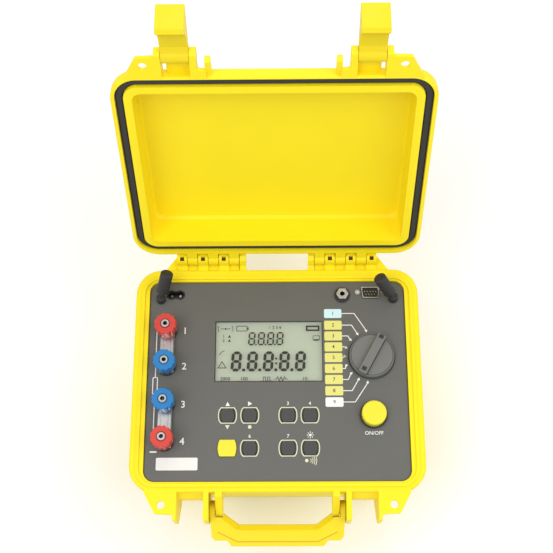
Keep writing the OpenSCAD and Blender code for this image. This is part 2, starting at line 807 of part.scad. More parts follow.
module main_board() color(board_green) translate([board_x, 0, board_z]) {
    difference() {
        linear_extrude(board_t) square([board_w, board_d], center = true);
        for (p = corner_places(board_w, board_d, spacer_in)) translate([p[0], p[1], -over])
            cylinder(r = screw_r, h = board_t + 2 * over);
    }
    // Chips on the underside
    for (x = [-0.3, 0, 0.3], y = [-0.25, 0.1]) translate([x * board_w, y * board_d, -board_t])
        linear_extrude(board_t) square([board_w / 8, board_w / 8], center = true);
}

module board_spacers() color(steel) translate([board_x, 0, 0])
    for (p = corner_places(board_w, board_d, spacer_in)) translate([p[0], p[1], 0]) {
        translate([0, 0, board_z + board_t]) cylinder(r = spacer_r, h = panel_z - board_z - board_t);
        translate([0, 0, board_z - board_t]) cylinder(r = screw_r - fit, h = board_t * 2);
        translate([0, 0, board_z - board_t]) cylinder(r = spacer_r, h = board_t);
    }

switch_h = 4;
cap_flange = 1.2;
cap_lip = 0.8;
keypad_t = 1.6;
keypad_z = panel_z - cap_lip - key_travel - switch_h - keypad_t - slack;

module keypad_board() color(board_green) {
    pad_w = key_xs[3] - key_xs[0] + key_w * 1.6;
    pad_d = key_ys[0] - key_ys[1] + key_d * 1.6;
    mid = [(key_xs[0] + key_xs[3]) / 2, (key_ys[0] + key_ys[1]) / 2];
    translate([mid[0], mid[1], keypad_z]) linear_extrude(keypad_t) square([pad_w, pad_d], center = true);
    for (i = [0:7]) translate([key_place(i)[0], key_place(i)[1], keypad_z + keypad_t])
        linear_extrude(switch_h) square([key_w / 2, key_w / 2], center = true);
    for (p = corner_places(pad_w, pad_d, key_w))
        translate([mid[0] + p[0], mid[1] + p[1], board_z + board_t])
            cylinder(r = spacer_r / 2, h = keypad_z - board_z - board_t + keypad_t / 2);
}

// A key: cap through the panel, with a lip below it and a dished top
module key_cap(i) {
    s = key_size(i);
    translate([key_place(i)[0], key_place(i)[1], 0]) {
        translate([0, 0, panel_z - cap_lip]) linear_extrude(panel_t + cap_lip + key_h) key_area(s[0], s[1]);
        translate([0, 0, panel_z - cap_lip]) linear_extrude(cap_lip) key_area(s[0] + cap_flange, s[1] + cap_flange);
    }
}

module key_1() color(dark) key_cap(0);
module key_2() color(dark) key_cap(1);
module key_3() color(dark) key_cap(2);
module key_4() color(dark) key_cap(3);
module key_5() color(yellow) key_cap(4);
module key_6() color(dark) key_cap(5);
module key_7() color(dark) key_cap(6);
module key_8() color(dark) key_cap(7);

// Start button, its bezel and its switch

bezel_w = 1.6;
bezel_h = 2;
start_body_h = 16;
start_body_w = 24;

module start_button() color(yellow) translate([start_x, start_y, 0]) {
    translate([0, 0, panel_z]) cylinder(r = start_d / 2, h = panel_t + start_h - slack * 2);
    translate([0, 0, panel_top + start_h - slack * 2])
        cylinder(r1 = start_d / 2, r2 = start_d / 2 - slack * 2, h = slack * 2);
    translate([0, 0, panel_z - start_travel]) cylinder(r = plunger_r, h = start_travel + over);
}

module start_bezel() color(dark) translate([start_x, start_y, panel_top]) difference() {
    cylinder(r = start_d / 2 + bezel_w, h = bezel_h);
    translate([0, 0, -over]) cylinder(r = start_d / 2 + fit * 2, h = bezel_h + 2 * over);
}

module start_switch() color(dark) translate([start_x, start_y, 0]) difference() {
    translate([0, 0, panel_z - start_body_h]) block(start_body_w + 2 * bezel_w, start_body_w + 2 * bezel_w,
        start_body_h, panel_r / 2);
    translate([0, 0, panel_z - start_travel - slack]) cylinder(r = start_d / 2 + slack, h = start_body_h);
    translate([0, 0, panel_z - 2 * start_travel - slack]) cylinder(r = plunger_r + fit, h = start_body_h);
}

// Selector

position_step = 20;
rest_position = 241;
tip_d = 6;
dial_lift = 0.4;
switch_body_h = 18;
bar_w = 8;

module selector_knob() color(grey) translate([dial_x, dial_y, 0]) rotate([0, 0, rest_position]) {
    z0 = panel_top + dial_lift;
    difference() {
        union() {
            translate([0, 0, z0]) cylinder(r = dial_d / 2, h = dial_h - slack * 2);
            translate([0, 0, z0 + dial_h - slack * 2])
                cylinder(r1 = dial_d / 2, r2 = dial_d / 2 - slack * 2, h = slack * 2);
            translate([-dial_d / 2 + slack, -bar_w / 2, z0 + dial_h / 2])
                cube([dial_d - 2 * slack, bar_w, dial_h / 2 + bar_h]);
        }
        translate([dial_d / 2 - tip_d, -bar_w / 6, z0 + dial_h + bar_h / 2]) cube([tip_d / 2, bar_w / 3, bar_h]);
    }
    translate([0, 0, panel_z - switch_body_h * 0.7]) cylinder(r = shaft_r, h = switch_body_h * 0.7 + panel_t + over);
}

module selector_switch() color(dark) translate([dial_x, dial_y, 0]) difference() {
    union() {
        translate([0, 0, panel_z - switch_body_h]) cylinder(r = switch_body_r, h = switch_body_h);
        translate([0, 0, panel_z]) cylinder(r = bush_r, h = panel_t);
        for (a = [0:30:330]) rotate([0, 0, a])
            translate([switch_body_r - over, -over / 2, panel_z - switch_body_h / 2]) cube([over * 4, over, over]);
    }
    translate([0, 0, panel_z - switch_body_h * 0.75]) cylinder(r = shaft_r + fit, h = switch_body_h * 2);
}

// Sockets at the back of the panel

inlet_rise = 1;
inlet_deep = 14;
blade_r = 1.2;
blade_gap = 8;
well_h = 11;

module mains_inlet() color(dark) translate([inlet_x, inlet_y, 0]) difference() {
    union() {
        translate([0, 0, panel_z - inlet_deep]) linear_extrude(inlet_deep + panel_t + inlet_rise) figure_eight(0);
        translate([0, 0, panel_z - inlet_rise * 2]) linear_extrude(inlet_rise * 2) figure_eight(inlet_rise);
    }
    translate([0, 0, panel_top + inlet_rise - well_h]) linear_extrude(well_h + over) figure_eight(-inlet_rise);
    for (sx = [-1, 1]) translate([sx * blade_gap / 2, 0, panel_z - inlet_deep - over])
        cylinder(r = blade_r + fit, h = inlet_deep + over);
}

module inlet_pins() color(steel) translate([inlet_x, inlet_y, 0])
    for (sx = [-1, 1]) translate([sx * blade_gap / 2, 0, panel_z - inlet_deep - over * 4])
        cylinder(r = blade_r, h = inlet_deep + over * 3);

socket_flange_r = 7.5;
socket_flange_h = 1.6;
socket_h = 6;
socket_bore_r = 2.2;
socket_nut_r = 5.9;

module probe_socket() color(dark) translate([probe_x, probe_y, 0]) difference() {
    union() {
        translate([0, 0, panel_top]) cylinder(r = socket_flange_r, h = socket_flange_h);
        translate([0, 0, panel_z - board_gap * 0.7]) cylinder(r = probe_r, h = board_gap * 0.7 + panel_t + over);
    }
    translate([0, 0, panel_z - board_gap * 0.5]) cylinder(r = socket_bore_r, h = board_gap * 2);
}

module probe_socket_nut() color(steel) translate([probe_x, probe_y, panel_top + socket_flange_h]) difference() {
    cylinder(r = socket_nut_r, h = socket_h - socket_flange_h, $fn = 6);
    translate([0, 0, -over]) cylinder(r = socket_bore_r, h = socket_h);
}

port_rise = 2;
port_deep = 9;
port_pin_r = 0.5;
port_pin_pitch = 2.7;

module serial_socket() color(steel) translate([port_x, port_y, 0]) difference() {
    union() {
        translate([0, 0, panel_z - port_deep]) linear_extrude(port_deep + panel_t + port_rise) port_area(0);
        translate([0, 0, panel_z - shell_t]) linear_extrude(shell_t)
            square([screw_pitch + port_d * 0.6, port_d + 2 * shell_t], center = true);
    }
    translate([0, 0, panel_top - panel_t * 0.6]) linear_extrude(board_gap) port_area(-shell_t);
    for (sx = [-1, 1]) translate([sx * screw_pitch / 2, 0, panel_z - port_deep])
        cylinder(r = screw_r + fit, h = port_deep + over);
}

module serial_pins() color(brass) translate([port_x, port_y, panel_top - panel_t * 0.6]) {
    for (i = [-2:2]) translate([i * port_pin_pitch, port_d * 0.13, 0]) cylinder(r = port_pin_r, h = port_rise);
    for (i = [-1.5:1.5]) translate([i * port_pin_pitch, -port_d * 0.13, 0]) cylinder(r = port_pin_r, h = port_rise);
}

module serial_screwlocks() color(steel) for (sx = [-1, 1]) translate([port_x + sx * screw_pitch / 2, port_y, 0])
    difference() {
        union() {
            translate([0, 0, panel_top]) cylinder(r = screw_r * 1.8, h = port_rise * 1.2, $fn = 6);
            translate([0, 0, panel_z - port_deep * 0.6]) cylinder(r = screw_r, h = port_deep * 0.6 + panel_t + slack);
            translate([0, 0, panel_z - shell_t - port_rise]) cylinder(r = screw_r * 1.8, h = port_rise, $fn = 6);
        }
        translate([0, 0, panel_top + slack]) cylinder(r = screw_r * 0.7, h = port_rise * 2);
    }

plate_t = 0.4;
module label_plate() color("#e9e9e4") translate([plate_x, plate_y, panel_top])
    block(plate_w, plate_d, plate_t, plate_d / 10);

// Terminals

seat_flange_r = 9.2;
seat_h = 4;
nut_h = 4;
nut_r = 6.5;
stem_below = 16;
flutes = 12;
flute_r = 2.2;
knob_z = panel_top + seat_h + link_t + fit;
top_rise = 0.8;
thread_fit = 0.08;

module at_posts() {
    for (y = post_ys) translate([post_x, y, 0]) children();
}

module terminal_seats() color(dark) at_posts() difference() {
    union() {
        translate([0, 0, panel_top]) cylinder(r = seat_flange_r, h = seat_h);
        translate([0, 0, panel_z]) cylinder(r = seat_r, h = panel_t + over);
    }
    translate([0, 0, panel_z - over]) cylinder(r = stem_r + fit, h = panel_t + seat_h + 2 * over);
}

module terminal_stems() color(steel) at_posts() difference() {
    translate([0, 0, panel_z - stem_below])
        cylinder(r = stem_r, h = stem_below + panel_t + seat_h + link_t + knob_h + top_rise);
    translate([0, 0, knob_z + knob_h + top_rise - jack_h]) cylinder(r = jack_r, h = jack_h + over);
}

module terminal_nuts() color(steel) at_posts() translate([0, 0, panel_z - nut_h]) difference() {
    cylinder(r = nut_r, h = nut_h, $fn = 6);
    translate([0, 0, -over]) cylinder(r = stem_r + fit, h = nut_h + 2 * over);
}

module link_plates() color(steel) for (i = [0, 2]) {
    y0 = post_ys[i + 1];
    y1 = post_ys[i];
    mid = (y0 + y1) / 2;
    translate([post_x, mid, panel_top + seat_h]) difference() {
        linear_extrude(link_t) square([link_w, y1 - y0 + link_w], center = true);
        for (s = [-1, 1]) translate([0, s * (y1 - y0) / 2, -over]) cylinder(r = stem_r + fit, h = link_t + 2 * over);
    }
}

// Fluted knob that screws down on its stem
module terminal_knob(y) {
    neck_h = knob_h * 0.3;
    translate([post_x, y, knob_z]) difference() {
        union() {
            cylinder(r = knob_d * 0.4, h = knob_h * 0.5);
            translate([0, 0, neck_h]) cylinder(r = knob_d / 2, h = knob_h - neck_h - top_rise);
            translate([0, 0, knob_h - top_rise])
                cylinder(r1 = knob_d / 2, r2 = knob_d / 2 - top_rise, h = top_rise);
        }
        for (k = [0:flutes - 1]) rotate([0, 0, k * 360 / flutes])
            translate([knob_d / 2 + flute_r * 0.6, 0, neck_h - over]) cylinder(r = flute_r, h = knob_h);
        translate([0, 0, -over]) cylinder(r = stem_r + thread_fit, h = knob_h + 2 * over);
    }
}

module knob_c1() color("#e8503f") terminal_knob(post_ys[0]);
module knob_p1() color("#3b62b8") terminal_knob(post_ys[1]);
module knob_p2() color("#3b62b8") terminal_knob(post_ys[2]);
module knob_c2() color("#e8503f") terminal_knob(post_ys[3]);

// Rubber stays that swing in and out on feet at the back corners

stay_angle_left = 26;
stay_angle_right = 53;
foot_r = 4.4;
foot_h = 3;
neck_r = 3;
stay_base = 2;
sleeve_start = 9;

module stay_feet() color(dark) for (sx = [-1, 1]) translate([sx * foot_x, foot_y, 0]) difference() {
    union() {
        translate([0, 0, panel_top]) cylinder(r = foot_r, h = foot_h);
        translate([0, 0, panel_z]) cylinder(r = shaft_r, h = panel_t + over);
        translate([0, 0, panel_z - nut_h]) cylinder(r = foot_r, h = nut_h, $fn = 6);
    }
    translate([0, 0, panel_z - over]) cylinder(r = shaft_r / 2 + fit, h = foot_h + panel_t + 2 * over);
}

module stay() {
    z0 = panel_top + foot_h + fit;
    translate([0, 0, panel_z]) cylinder(r = shaft_r / 2, h = panel_t + foot_h + fit + over);
    translate([0, 0, z0]) cylinder(r = foot_r * 0.9, h = stay_base + neck_r);
    translate([0, 0, z0 + stay_base]) rotate([-stay_tilt, 0, 0]) {
        cylinder(r = neck_r, h = sleeve_start + over);
        translate([0, 0, sleeve_start]) cylinder(r = sleeve_r, h = stay_l - sleeve_start - slack * 2);
        translate([0, 0, stay_l - slack * 2]) cylinder(r1 = sleeve_r, r2 = sleeve_r - slack * 2, h = slack * 2);
    }
}

module stay_left() color(dark) translate([-foot_x, foot_y, 0]) rotate([0, 0, -stay_angle_left]) stay();
module stay_right() color(dark) translate([foot_x, foot_y, 0]) rotate([0, 0, stay_angle_right]) stay();

// Chassis that hangs from the panel, and what it carries

tray_w = panel_w - 2 * tray_side;
tray_d = panel_d - 2 * tray_end;
tray_floor = tray_z + tray_t;
pillar_out = 6;
tray_pillar_x = pillar_out - board_x0;
tray_pillar_y = tray_d / 2 - 2 * pillar_r;
tray_rim = 4;
load_side = 13;
load_gap = 3;
clamp_t = 2;
clamp_plate_r = 15;
bolt_r = 3;

// Battery in front, beside the power board
cell_w = tray_w - power_w - 2 * load_side + over - load_gap;
battery_x = load_side + cell_w / 2 - tray_w / 2;
battery_y = tray_rim + clamp_t + seat + cell_d - tray_d / 2;
power_x = tray_w / 2 - load_side + over - power_w / 2;
power_d = tray_d / 2 - 2 * tray_rim;
power_y = -power_d / 2;

// Ring transformer behind, beside the heat sink
ring_bore_share = 0.18;
ring_share = 0.39;
sink_share = 0.45;
ring_d = tray_d - 2 * (cell_d + clamp_t + seat) - 3 * tray_rim;
ring_bore_r = ring_bore_share * ring_d;
ring_x = -ring_share * (tray_w - ring_d);
ring_y = tray_d / 2 - tray_rim - ring_d / 2;
sink_w = sink_share * (tray_w - ring_d);
sink_x = tray_w / 2 - load_side - tray_rim * 2 - sink_w / 2;
sink_d = ring_d - 2 * tray_rim;
sink_y = ring_y;
sink_h = 36;
fins = 7;
fin_t = 2;

module pillar_places() {
    for (sx = [-1, 1], sy = [-1, 1]) translate([sx * tray_pillar_x, sy * tray_pillar_y, 0]) children();
}

module chassis_pillars() color(steel) pillar_places() {
    translate([0, 0, tray_floor]) cylinder(r = pillar_r, h = panel_z - tray_floor);
    translate([0, 0, tray_z - over]) cylinder(r = screw_r, h = tray_t + 2 * over);
    translate([0, 0, tray_z - tray_t]) cylinder(r = pillar_r, h = tray_t);
}

module chassis_tray() color(steel) difference() {
    translate([0, 0, tray_z]) block(tray_w, tray_d, tray_t, pillar_r);
    translate([0, 0, tray_z - over]) {
        pillar_places() cylinder(r = screw_r + fit, h = tray_t + 2 * over);
        translate([ring_x, ring_y, 0]) cylinder(r = bolt_r + fit, h = tray_t + 2 * over);
    }
}

module battery_pack() color("#3d5a8c")
    translate([battery_x - cell_w / 2, battery_y, tray_floor + cell_d / 2]) rotate([90, 0, 90])
        linear_extrude(cell_w) rrect(2 * cell_d, cell_d, cell_d / 2 - slack);

module battery_clamp() color(steel) translate([battery_x, battery_y, tray_floor]) {
    w = 2 * cell_d + 2 * clamp_t + 2 * seat;
    for (sx = [-1, 1]) translate([sx * cell_w / 4 - cell_d / 6, 0, 0]) {
        translate([0, -w / 2, cell_d + fit]) cube([cell_d / 3, w, clamp_t]);
        for (sy = [-1, 1]) translate([0, sy * (w / 2 - clamp_t / 2) - clamp_t / 2, 0])
            cube([cell_d / 3, clamp_t, cell_d + clamp_t]);
    }
}

module mains_transformer() color("#b5652b") translate([ring_x, ring_y, tray_floor])
    rotate_extrude() translate([ring_bore_r, 0]) {
        translate([0, edge_soft / 2]) square([ring_d / 2 - ring_bore_r, ring_h - edge_soft]);
        translate([edge_soft / 2, 0]) square([ring_d / 2 - ring_bore_r - edge_soft, ring_h]);
    }

module transformer_clamp() color(steel) translate([ring_x, ring_y, 0]) {
    translate([0, 0, tray_floor + ring_h]) cylinder(r = clamp_plate_r, h = clamp_t);
    translate([0, 0, tray_z - tray_t]) cylinder(r = bolt_r, h = ring_h + 2 * tray_t + clamp_t);
    translate([0, 0, tray_z - tray_t]) cylinder(r = bolt_r * 2, h = tray_t, $fn = 6);
}

module heat_sink() color("#8d9094") translate([sink_x, sink_y, tray_floor]) {
    linear_extrude(fin_t * 2) square([sink_w, sink_d], center = true);
    for (i = [0:fins - 1]) translate([-sink_w / 2 + i * (sink_w - fin_t) / (fins - 1), -sink_d / 2, fin_t])
        cube([fin_t, sink_d, sink_h - fin_t]);
}

module power_board() color(board_green) translate([power_x, power_y, tray_floor]) {
    translate([0, 0, spacer_in]) linear_extrude(board_t) square([power_w, power_d], center = true);
    for (p = corner_places(power_w, power_d, spacer_in)) translate([p[0], p[1], 0])
        cylinder(r = spacer_r, h = spacer_in + board_t / 2);
    translate([-power_w / 5, power_d / 5, spacer_in + board_t / 2]) cylinder(r = power_w / 6, h = sink_h * 0.6);
    translate([power_w / 5, -power_d / 4, spacer_in + board_t / 2])
        linear_extrude(sink_h * 0.5) square([power_w / 3, power_d / 4], center = true);
}

// Shunt bar bolted under the two current terminals
shunt_t = 3;
shunt_w = 10;
module current_shunt() color(brass) translate([post_x, 0, panel_z - nut_h - shunt_t]) difference() {
    union() {
        linear_extrude(shunt_t) translate([0, (post_ys[0] + post_ys[3]) / 2])
            square([shunt_w, post_ys[0] - post_ys[3] + shunt_w], center = true);
    }
    for (y = post_ys) translate([0, y, -over])
        cylinder(r = (y == post_ys[0] || y == post_ys[3]) ? stem_r + fit : stem_r + slack, h = shunt_t + 2 * over);
}

base_shell();
front_panel();
panel_seal();
display_window();
display_module();
main_board();
keypad_board();
board_spacers();
chassis_pillars();
chassis_tray();
battery_pack();
battery_clamp();
mains_transformer();
transformer_clamp();
power_board();
heat_sink();
current_shunt();
selector_switch();
selector_knob();
start_switch();
start_bezel();
start_button();
mains_inlet();
inlet_pins();
probe_socket();
probe_socket_nut();
serial_socket();
serial_pins();
serial_screwlocks();
label_plate();
terminal_stems();
terminal_seats();
terminal_nuts();
link_plates();
knob_c1();
knob_p1();
knob_p2();
knob_c2();
key_1();
key_2();
key_3();
key_4();
key_5();
key_6();
key_7();
key_8();
stay_feet();
stay_left();
stay_right();
hinge_pins();
handle_pins();
carry_handle();
lid_shell();
lid_gasket();
latch_pins();
latch_left();
latch_right();
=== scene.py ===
import bpy
import json
import math
from mathutils import Matrix, Vector


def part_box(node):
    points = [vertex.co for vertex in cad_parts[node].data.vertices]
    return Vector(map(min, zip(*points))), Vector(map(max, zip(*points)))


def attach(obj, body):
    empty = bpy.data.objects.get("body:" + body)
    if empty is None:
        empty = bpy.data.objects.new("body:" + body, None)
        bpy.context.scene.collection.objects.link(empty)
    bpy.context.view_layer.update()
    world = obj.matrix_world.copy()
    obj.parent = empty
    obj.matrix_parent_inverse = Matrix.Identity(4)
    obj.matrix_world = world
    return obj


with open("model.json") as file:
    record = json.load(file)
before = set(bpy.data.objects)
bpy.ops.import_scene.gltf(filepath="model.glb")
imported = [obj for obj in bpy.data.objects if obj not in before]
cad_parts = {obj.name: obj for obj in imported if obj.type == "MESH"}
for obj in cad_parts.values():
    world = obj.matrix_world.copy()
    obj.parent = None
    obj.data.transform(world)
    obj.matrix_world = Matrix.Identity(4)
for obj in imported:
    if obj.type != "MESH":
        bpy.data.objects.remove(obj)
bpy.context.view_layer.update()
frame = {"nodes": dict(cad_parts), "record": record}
mm = 0.001

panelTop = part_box("front_panel")[1][2]


# Materials

class Wire:
    # one value or colour in a node tree, with the usual sums
    def __init__(self, tree, socket):
        self.tree = tree
        self.socket = socket

    def maths(self, operation, other):
        node = self.tree.nodes.new("ShaderNodeMath")
        node.operation = operation
        join(self.tree, node.inputs[0], self)
        join(self.tree, node.inputs[1], other)
        return Wire(self.tree, node.outputs[0])

    def __add__(self, other):
        return self.maths("ADD", other)

    def __mul__(self, other):
        return self.maths("MULTIPLY", other)


def join(tree, target, value):
    if isinstance(value, Wire):
        tree.links.new(value.socket, target)
    else:
        target.default_value = value


class Finish:
    # a material with one Principled shader
    def __init__(self, name, colour, roughness, **sockets):
        self.material = bpy.data.materials.new(name)
        self.material.use_nodes = True
        self.tree = self.material.node_tree
        self.shader = self.tree.nodes["Principled BSDF"]
        self.set("Base Color", (*colour, 1))
        self.set("Roughness", roughness)
        for socket, value in sockets.items():
            self.set(socket.replace("_", " "), value)

    def set(self, socket, value):
        join(self.tree, self.shader.inputs[socket], value)

    def node(self, kind, output=0, **values):
        node = self.tree.nodes.new("ShaderNode" + kind)
        for key, value in values.items():
            join(self.tree, node.inputs[key], value)
        return Wire(self.tree, node.outputs[output])

    def place(self):
        # object coordinates
        return self.node("TexCoord", output=3)

    def noise(self, size, detail=3.0, roughness=0.5):
        return self.node("TexNoise", Vector=self.place(), Scale=1 / size, Detail=detail, Roughness=roughness)

    def between(self, low, high, mask):
        node = self.tree.nodes.new("ShaderNodeMix")
        node.data_type = "RGBA"
        for index, value in ((0, mask), (6, low), (7, high)):
            join(self.tree, node.inputs[index], value)
        return Wire(self.tree, node.outputs[2])

    def bump(self, height, strength, distance):
        self.set("Normal", self.node("Bump", Height=height, Strength=strength, Distance=distance))


def tinted(colour, factor):
    return tuple(min(1.0, c * factor) for c in colour) + (1,)


# noise sizes in metres, and how far each noise moves the roughness
plasticLook = {"cloud": 38 * mm, "cloudDetail": 4.0, "speckDetail": 2.0, "speckRough": 0.6,
               "cloudShare": 0.12, "speckShare": 0.08, "centre": 0.1, "bump": 0.5}
metalLook = {"cloud": 9 * mm, "dark": 0.82, "light": 1.08,
             "streakShare": 0.16, "cloudShare": 0.1, "centre": 0.12, "bump": 0.3, "depth": 0.01 * mm}
windowLook = {"colour": (0.75, 0.8, 0.7), "roughness": 0.12, "index": 1.3,
              "cloud": 30 * mm, "cloudShare": 0.04, "leastAlpha": 0.16}


def mouldedPlastic(name, colour, roughness, grain=0.35 * mm, depth=0.02 * mm, spread=0.06, shine=0.5):
    look = plasticLook
    finish = Finish(name, colour, roughness, Specular_IOR_Level=shine)
    cloud = finish.noise(look["cloud"], look["cloudDetail"])
    speck = finish.noise(grain, look["speckDetail"], look["speckRough"])
    finish.set("Base Color", finish.between(tinted(colour, 1 - spread), tinted(colour, 1 + spread), cloud))
    shift = roughness - look["centre"]
    finish.set("Roughness", cloud * look["cloudShare"] + speck * look["speckShare"] + shift)
    finish.bump(speck, look["bump"], depth)
    return finish.material


def metal(name, colour, roughness, grain=0.5 * mm):
    look = metalLook
    finish = Finish(name, colour, roughness, Metallic=1.0)
    streak = finish.noise(grain)
    cloud = finish.noise(look["cloud"])
    finish.set("Base Color", finish.between(tinted(colour, look["dark"]), tinted(colour, look["light"]), cloud))
    shift = roughness - look["centre"]
    finish.set("Roughness", streak * look["streakShare"] + cloud * look["cloudShare"] + shift)
    finish.bump(streak, look["bump"], look["depth"])
    return finish.material


def clearWindow():
    look = windowLook
    finish = Finish("windowClear", look["colour"], look["roughness"], IOR=look["index"])
    finish.set("Alpha", finish.noise(look["cloud"]) * look["cloudShare"] + look["leastAlpha"])
    finish.material.surface_render_method = "BLENDED"
    return finish.material


caseLook = {"roughness": 0.45, "grain": 0.5 * mm, "depth": 0.03 * mm, "spread": 0.03, "shine": 0.25}
rubberLook = {"roughness": 0.62, "grain": 0.8 * mm, "depth": 0.04 * mm}
materials = {
    "case_yellow": mouldedPlastic("caseYellow", (0.95, 0.77, 0.012), **caseLook),
    "cap_yellow": mouldedPlastic("capYellow", (0.83, 0.74, 0.03), 0.34, spread=0.03),
    "panel_grey": mouldedPlastic("panelGrey", (0.115, 0.115, 0.107), 0.5, grain=0.3 * mm, spread=0.05),
    "knob_grey": mouldedPlastic("knobGrey", (0.165, 0.165, 0.155), 0.4),
    "black_plastic": mouldedPlastic("blackPlastic", (0.022, 0.022, 0.022), 0.42),
    "key_dark": mouldedPlastic("keyDark", (0.05, 0.051, 0.05), 0.45),
    "black_rubber": mouldedPlastic("blackRubber", (0.028, 0.027, 0.028), **rubberLook),
    "display_body": mouldedPlastic("displayBody", (0.5, 0.56, 0.45), 0.5, spread=0.04),
    "board_green": mouldedPlastic("boardGreen", (0.03, 0.15, 0.07), 0.4),
    "steel": metal("plateSteel", (0.66, 0.65, 0.63), 0.3),
    "sheet_aluminium": metal("sheetAluminium", (0.7, 0.7, 0.7), 0.42),
    "battery_wrap": mouldedPlastic("batteryWrap", (0.05, 0.1, 0.28), 0.3),
    "copper_winding": metal("copperWinding", (0.55, 0.25, 0.1), 0.35),
    "brass": metal("contactBrass", (0.75, 0.55, 0.25), 0.3),
    "white_label": mouldedPlastic("whiteLabel", (0.8, 0.8, 0.77), 0.4, spread=0.02),
    "knob_red": mouldedPlastic("knobRed", (0.62, 0.05, 0.035), 0.3),
    "knob_blue": mouldedPlastic("knobBlue", (0.012, 0.19, 0.5), 0.3),
    "display_glass": clearWindow(),
}
# darker copy of the case yellow for the latches and the handle: painted shade that tones down the light their
# tops catch
shadedCaseYellow = mouldedPlastic("shadedCaseYellow", (0.84, 0.66, 0.012), **caseLook)
# colours for print and for painted shade: the black draws print and also painted shade and shadow lines; the
# brown and the orange are painted shade
printAndShadeColours = {
    "white": mouldedPlastic("inkWhite", (0.88, 0.88, 0.86), 0.5, spread=0.02),
    "cream": mouldedPlastic("inkCream", (0.72, 0.72, 0.5), 0.5, spread=0.03),
    "yellow": mouldedPlastic("inkYellow", (0.75, 0.72, 0.2), 0.5, spread=0.03),
    "blue": mouldedPlastic("inkBlue", (0.6, 0.84, 0.9), 0.5, spread=0.03),
    "black": mouldedPlastic("blackPrintAndShade", (0.02, 0.02, 0.02), 0.5),
    # painted shade at the bottom of the pockets in the hinge knuckles
    "pocketShade": mouldedPlastic("paintedPocketShade", (0.06, 0.03, 0.008), 0.6),
    # painted shade along the crease of the handle grip
    "gripCreaseShade": mouldedPlastic("paintedCreaseShade", (0.62, 0.36, 0.01), 0.6),
}
darkerPieces = ("latch_left", "latch_right", "carry_handle")

for part in frame["record"]["subparts"]:
    node = frame["nodes"][part["node"]]
    for materialSlot in node.material_slots:
        materialSlot.material = materials[part["material_slot"]]
# the latches and the handle get the darker copy of the case yellow, painted shade
for nodeName in darkerPieces:
    for materialSlot in frame["nodes"][nodeName].material_slots:
        materialSlot.material = shadedCaseYellow
print("materials:", len(materials) + len(printAndShadeColours))


# Tools: points, sizes and line widths in millimetres, base heights in metres

printAndShadeRise = 0.08
lettering = {"capHeight": 0.7, "weight": 0.012, "curve": 3}


def deselect():
    for thing in bpy.context.selected_objects:
        thing.select_set(False)


def settled(name, material, body):
    thing = bpy.context.object
    bpy.ops.object.transform_apply(location=True, rotation=True, scale=True)
    thing.name = name
    thing.data.name = name
    thing.data.materials.clear()
    thing.data.materials.append(material)
    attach(thing, body)


def joined(things):
    deselect()
    for thing in things:
        thing.select_set(True)
    bpy.context.view_layer.objects.active = things[0]
    if len(things) > 1:
        bpy.ops.object.join()
    return bpy.context.object


def flat(points, line=0.0, rise=printAndShadeRise, base=panelTop):
    # thin flat shape for print and painted shade, with the given corners, or its outline where a line width is
    # given
    deselect()
    bpy.ops.mesh.primitive_circle_add(vertices=len(points), radius=mm, fill_type="NGON", location=(0, 0, 0))
    shape = bpy.context.object
    for vertex, (x, y) in zip(shape.data.vertices, points):
        vertex.co = (x * mm, y * mm, base)
    bpy.ops.object.mode_set(mode="EDIT")
    bpy.ops.mesh.select_all(action="SELECT")
    bpy.ops.mesh.normals_make_consistent(inside=False)
    if line:
        bpy.ops.mesh.inset(thickness=line * mm)
        bpy.ops.mesh.delete(type="FACE")
    bpy.ops.mesh.select_all(action="SELECT")
    bpy.ops.mesh.extrude_region_move(TRANSFORM_OT_translate={"value": (0, 0, rise * mm)})
    bpy.ops.mesh.select_all(action="SELECT")
    bpy.ops.mesh.normals_make_consistent(inside=False)
    bpy.ops.object.mode_set(mode="OBJECT")
    return shape


def roundedBox(x, y, width, depth, corner, steps=4):
    points = []
    for cx, cy, start in ((1, 1, 0), (-1, 1, 90), (-1, -1, 180), (1, -1, 270)):
        for step in range(steps + 1):
            angle = math.radians(start + 90 * step / steps)
            points.append((x + cx * (width / 2 - corner) + corner * math.cos(angle),
                           y + cy * (depth / 2 - corner) + corner * math.sin(angle)))
    return points


def ribbon(points, width):
    # corners of a line of even width along points
    left, right = [], []
    for index, (x, y) in enumerate(points):
        before = points[max(index - 1, 0)]
        after = points[min(index + 1, len(points) - 1)]
        normals = []
        for start, end in ((before, (x, y)), ((x, y), after)):
            dx, dy = end[0] - start[0], end[1] - start[1]
            length = math.hypot(dx, dy)
            if length:
                normals.append((-dy / length, dx / length))
        nx = sum(n[0] for n in normals) / len(normals)
        ny = sum(n[1] for n in normals) / len(normals)
        reach = width / 2 / (nx * nx + ny * ny)
        left.append((x + nx * reach, y + ny * reach))
        right.append((x - nx * reach, y - ny * reach))
    return left + right[::-1]


def arc(x, y, radius, start, end, steps):
    points = []
    for k in range(steps + 1):
        angle = math.radians(start + (end - start) * k / steps)
        points.append((x + radius * math.cos(angle), y + radius * math.sin(angle)))
    return points


def disc(x, y, radius, corners=24):
    return arc(x, y, radius, 0, 360 - 360 / corners, corners - 1)


def words(text, x, y, height, base=panelTop, rise=printAndShadeRise):
    deselect()
    bpy.ops.object.text_add(location=(0, 0, 0))
    letters = bpy.context.object
    letters.data.body = text
    letters.data.size = height / lettering["capHeight"] * mm
    letters.data.extrude = rise / 2 * mm
    letters.data.offset = height * lettering["weight"] * mm
    letters.data.align_x = "CENTER"
    letters.data.align_y = "CENTER"
    letters.data.resolution_u = lettering["curve"]
    bpy.ops.object.convert(target="MESH")
    letters = bpy.context.object
    letters.location = (x * mm, y * mm, base + rise / 2 * mm)
    bpy.ops.object.transform_apply(location=True, rotation=True, scale=True)
    return letters


